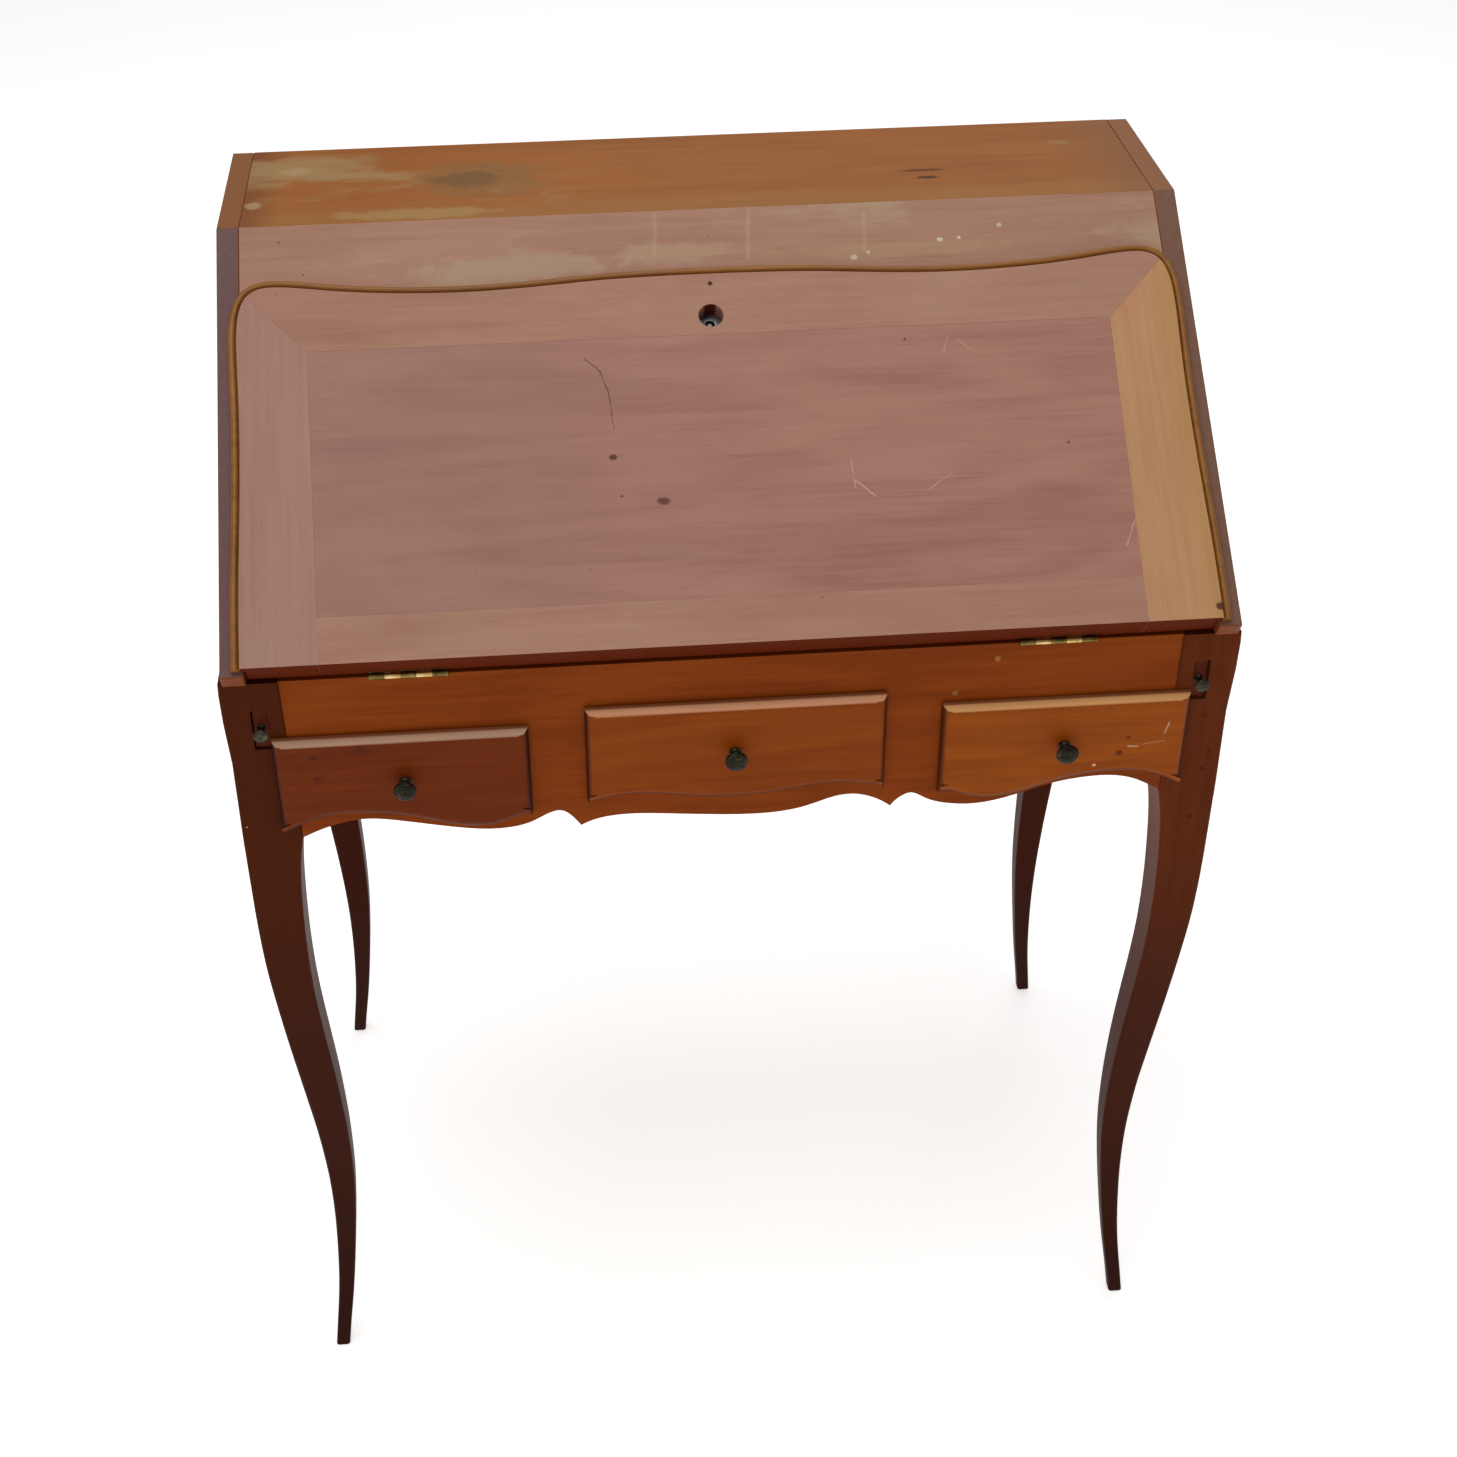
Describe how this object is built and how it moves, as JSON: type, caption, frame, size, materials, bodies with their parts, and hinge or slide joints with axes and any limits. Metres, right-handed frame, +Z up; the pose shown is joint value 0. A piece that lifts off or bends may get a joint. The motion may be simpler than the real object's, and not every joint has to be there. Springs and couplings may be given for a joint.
{
  "type": "secretary desk",
  "caption": "Slant-front secretary desk on slender cabriole legs, with a lipped fall front, overlay drawers, pull-out lopers and a small inner gallery.",
  "frame": {"origin": "centre of the footprint box at floor level", "axes": "+Z up, the front of the desk faces -Y, +X to the viewer's right"},
  "size_m": [0.7892, 0.4846, 0.9994],
  "materials": {
    "leg_wood": "satin varnished cherry, dark red brown",
    "side_wood": "satin varnished cherry",
    "top_wood": "satin varnished cherry, sun-worn",
    "fascia_wood": "satin varnished cherry, sun-bleached",
    "rail_wood": "satin varnished cherry",
    "back_wood": "matt stained",
    "fall_field_wood": "satin varnished cherry, faded",
    "fall_frame_wood": "satin varnished cherry, faded",
    "moulding_wood": "satin varnished cherry",
    "drawer_front_wood": "satin varnished cherry",
    "drawer_box_wood": "bare pale wood",
    "inner_wood": "matt wood",
    "loper_wood": "satin varnished cherry",
    "knob_bronze": "oxidised dark bronze",
    "hinge_brass": "worn brass",
    "lock_steel": "plain steel"
  },
  "bodies": {
    "case": {"leg_front_left": "leg_wood", "leg_front_right": "leg_wood", "leg_back_left": "leg_wood", "leg_back_right": "leg_wood", "side_panel_left": "side_wood", "side_panel_right": "side_wood", "top_board": "top_wood", "slope_fascia": "fascia_wood", "lock_strike_plate": "hinge_brass", "back_panel": "back_wood", "front_rail": "rail_wood", "hinge_screws_lower": "hinge_brass", "side_apron_left": "side_wood", "side_apron_right": "side_wood", "back_rail": "back_wood", "writing_bed": "inner_wood", "drawer_bearer_left": "inner_wood", "drawer_bearer_right": "inner_wood", "loper_guide_left": "inner_wood", "loper_guide_right": "inner_wood", "loper_stop_pins": "inner_wood", "gallery_shelf": "inner_wood", "gallery_dividers": "inner_wood", "hinge_leaf_lower_left": "hinge_brass", "hinge_leaf_lower_right": "hinge_brass", "hinge_pins": "lock_steel"},
    "fall": {"fall_centre_panel": "fall_field_wood", "fall_stile_left": "fall_frame_wood", "fall_stile_right": "fall_frame_wood", "fall_top_rail": "fall_frame_wood", "fall_bottom_rail": "fall_frame_wood", "hinge_screws_upper": "hinge_brass", "fall_edge_moulding": "moulding_wood", "hinge_leaf_upper_left": "hinge_brass", "hinge_leaf_upper_right": "hinge_brass", "lock_case": "lock_steel", "lock_cap_plate": "lock_steel"},
    "bolt": {"lock_bolt": "lock_steel"},
    "left_drawer": {"drawer_left_front": "drawer_front_wood", "drawer_left_side_left": "drawer_box_wood", "drawer_left_side_right": "drawer_box_wood", "drawer_left_back": "drawer_box_wood", "drawer_left_bottom": "drawer_box_wood", "drawer_left_knob": "knob_bronze"},
    "middle_drawer": {"drawer_middle_front": "drawer_front_wood", "drawer_middle_side_left": "drawer_box_wood", "drawer_middle_side_right": "drawer_box_wood", "drawer_middle_back": "drawer_box_wood", "drawer_middle_bottom": "drawer_box_wood", "drawer_middle_knob": "knob_bronze"},
    "right_drawer": {"drawer_right_front": "drawer_front_wood", "drawer_right_side_left": "drawer_box_wood", "drawer_right_side_right": "drawer_box_wood", "drawer_right_back": "drawer_box_wood", "drawer_right_bottom": "drawer_box_wood", "drawer_right_knob": "knob_bronze"},
    "left_loper": {"loper_left": "loper_wood", "loper_knob_left": "knob_bronze"},
    "right_loper": {"loper_right": "loper_wood", "loper_knob_right": "knob_bronze"}
  },
  "joints": [
    {"name": "fall_hinge", "type": "hinge", "parent": "case", "child": "fall", "pos_m": [0, -0.2184, 0.755], "axis": [1, 0, 0], "range_deg": [0, 142.6]},
    {"name": "bolt_slide", "type": "slide", "parent": "fall", "child": "bolt", "axis": [0, 0.7953, 0.6062], "range_m": [0, 0.007]},
    {"name": "left_drawer_slide", "type": "slide", "parent": "case", "child": "left_drawer", "axis": [0, -1, 0], "range_m": [0, 0.28]},
    {"name": "middle_drawer_slide", "type": "slide", "parent": "case", "child": "middle_drawer", "axis": [0, -1, 0], "range_m": [0, 0.28]},
    {"name": "right_drawer_slide", "type": "slide", "parent": "case", "child": "right_drawer", "axis": [0, -1, 0], "range_m": [0, 0.28]},
    {"name": "left_loper_slide", "type": "slide", "parent": "case", "child": "left_loper", "axis": [0, -1, 0], "range_m": [0, 0.25]},
    {"name": "right_loper_slide", "type": "slide", "parent": "case", "child": "right_loper", "axis": [0, -1, 0], "range_m": [0, 0.25]}
  ]
}
